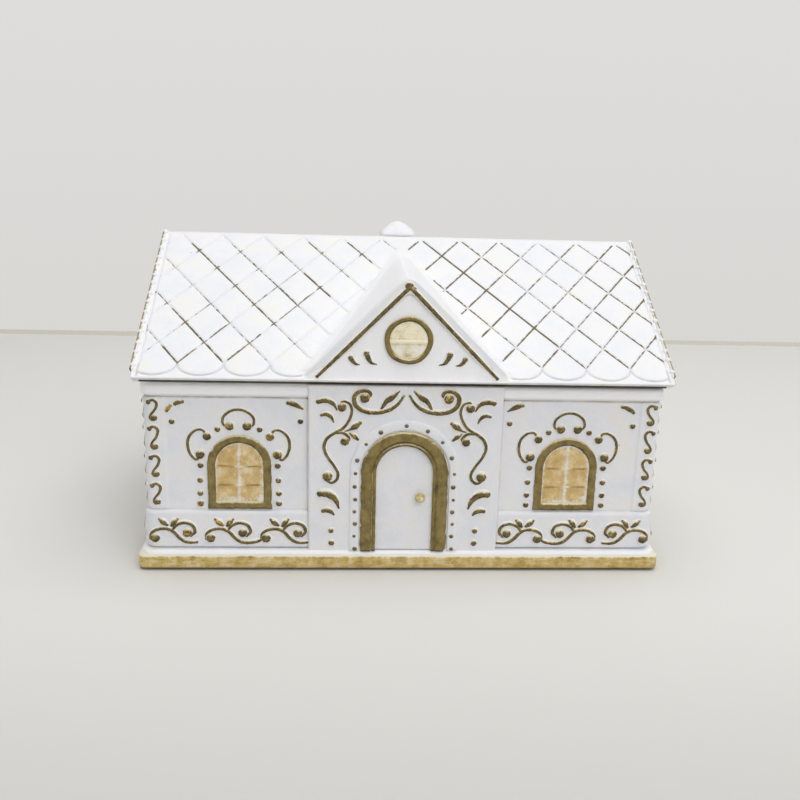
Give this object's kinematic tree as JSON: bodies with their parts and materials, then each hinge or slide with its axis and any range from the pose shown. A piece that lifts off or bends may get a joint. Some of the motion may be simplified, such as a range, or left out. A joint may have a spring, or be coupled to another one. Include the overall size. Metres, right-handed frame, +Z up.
{
  "type": "lidded house box",
  "caption": "House-shaped keepsake box with a lift-off roof lid, diamond-lattice roof, centre gable, arched door and windows, gilded relief and a gold plinth.",
  "frame": {"origin": "under the middle of the box, on the surface that it stands on", "axes": "+X to the right as seen from the front, +Y to the back, +Z up; the front door faces -Y"},
  "size_m": [0.2, 0.1372, 0.1272],
  "materials": {
    "white_body": "matte",
    "white_lid": "matte",
    "plinth_gold": "satin",
    "antique_gold": "satin",
    "pane_gold": "satin",
    "knob_gold": "satin",
    "felt": "matte"
  },
  "bodies": {
    "box": {"house_body": "white_body", "plinth": "plinth_gold", "felt_pad_front_left": "felt", "felt_pad_front_right": "felt", "felt_pad_back_left": "felt", "felt_pad_back_right": "felt", "door_leaf": "white_body", "door_knob": "knob_gold", "door_surround": "antique_gold", "door_hood": "white_body", "bay_scroll_top_left": "antique_gold", "bay_scroll_top_right": "antique_gold", "bay_scroll_side_left": "antique_gold", "bay_scroll_side_right": "antique_gold", "bay_leaf_upper_left": "antique_gold", "bay_leaf_upper_right": "antique_gold", "bay_leaf_lower_left": "antique_gold", "bay_leaf_lower_right": "antique_gold", "bay_comma_upper_left": "antique_gold", "bay_comma_upper_right": "antique_gold", "bay_comma_lower_left": "antique_gold", "bay_comma_lower_right": "antique_gold", "window_frame_front_left": "antique_gold", "window_pane_front_left": "pane_gold", "window_frame_front_right": "antique_gold", "window_pane_front_right": "pane_gold", "window_frame_back_left": "antique_gold", "window_pane_back_left": "pane_gold", "window_frame_back_right": "antique_gold", "window_pane_back_right": "pane_gold", "window_frame_side_right": "antique_gold", "window_pane_side_right": "pane_gold", "window_frame_side_left": "antique_gold", "window_pane_side_left": "pane_gold", "crest_top_left": "antique_gold", "crest_outer_left": "antique_gold", "crest_inner_left": "antique_gold", "crest_top_right": "antique_gold", "crest_outer_right": "antique_gold", "crest_inner_right": "antique_gold", "dado_vine_left": "antique_gold", "dado_vine_right": "antique_gold"},
    "lid": {"roof_lid": "white_lid", "chimney": "white_lid", "chimney_cap": "white_lid", "gable_trim": "antique_gold", "oculus_frame": "antique_gold", "oculus_pane": "pane_gold", "pediment_leaf_inner_left": "antique_gold", "pediment_leaf_inner_right": "antique_gold", "pediment_leaf_outer_left": "antique_gold", "pediment_leaf_outer_right": "antique_gold", "rake_trim_left": "antique_gold", "rake_trim_right": "antique_gold"}
  },
  "joints": [
    {"name": "lid_lift", "type": "slide", "parent": "box", "child": "lid", "axis": [0, 0, 1], "range_m": [0, 0.1]}
  ]
}
